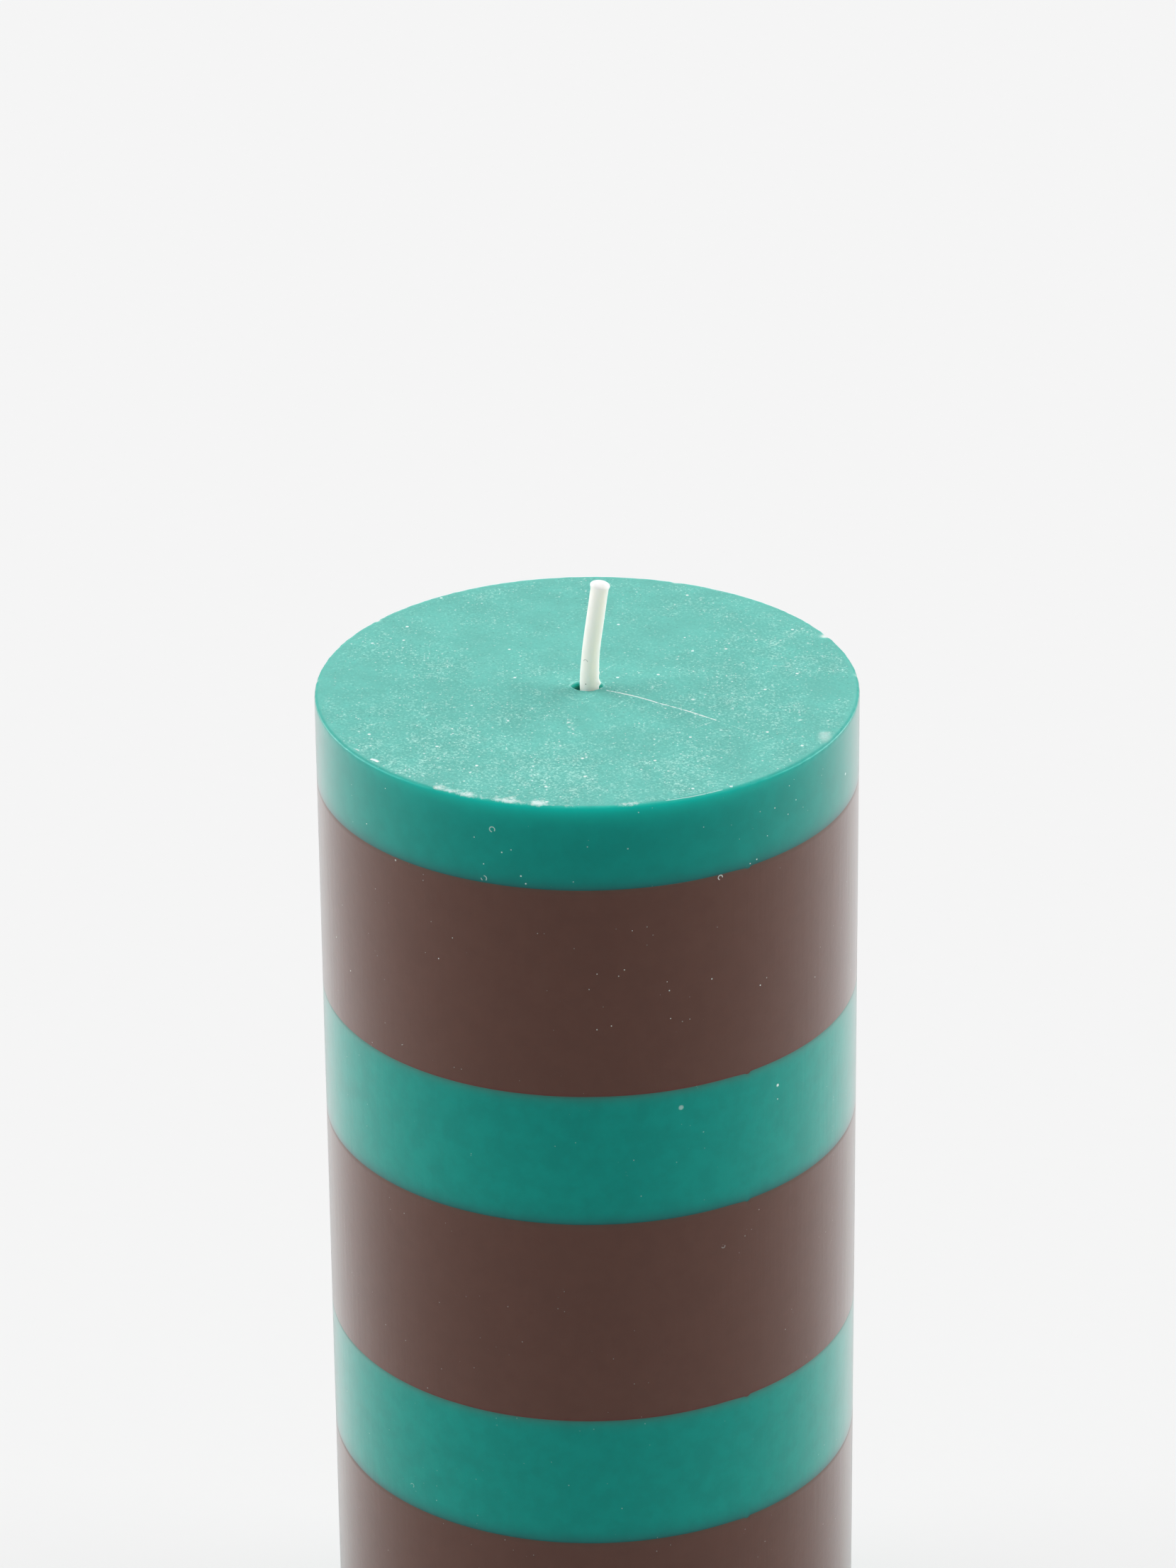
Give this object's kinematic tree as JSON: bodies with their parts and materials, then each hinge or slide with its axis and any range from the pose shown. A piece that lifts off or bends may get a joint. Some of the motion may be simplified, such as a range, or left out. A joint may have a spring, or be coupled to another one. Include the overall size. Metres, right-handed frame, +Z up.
{
  "type": "striped pillar candle",
  "caption": "Cylindrical wax pillar candle in teal and brown bands, poured band on band, with a bore, a wax-coated braided wick and a metal wick tab in its foot.",
  "frame": {"origin": "middle of the base, on the surface that the candle stands on", "axes": "+Z up the pillar's axis, -Y the front, +X to the right as seen from the front, which is the way the wick's free end leans"},
  "size_m": [0.07, 0.07, 0.1649],
  "materials": {
    "teal_wax": "translucent teal-green wax: satin gloss on the wall that touched the mould, paler, frosted and finely scratched on the top face",
    "brown_wax": "chocolate-brown wax with a satin gloss from the mould",
    "wick_wax": "smooth creamy white wax, slightly translucent",
    "wick_cotton": "flat-braided cotton soaked in wax",
    "tab_metal": "thin tin-plated steel, pressed"
  },
  "bodies": {
    "root": {"cap_teal": "teal_wax", "band_brown_upper": "brown_wax", "band_teal_upper": "teal_wax", "band_brown_middle": "brown_wax", "band_teal_lower": "teal_wax", "band_brown_lower": "brown_wax", "foot_teal": "teal_wax", "wick_wax_coat": "wick_wax", "wick_braid": "wick_cotton", "wick_tab": "tab_metal"}
  },
  "joints": []
}
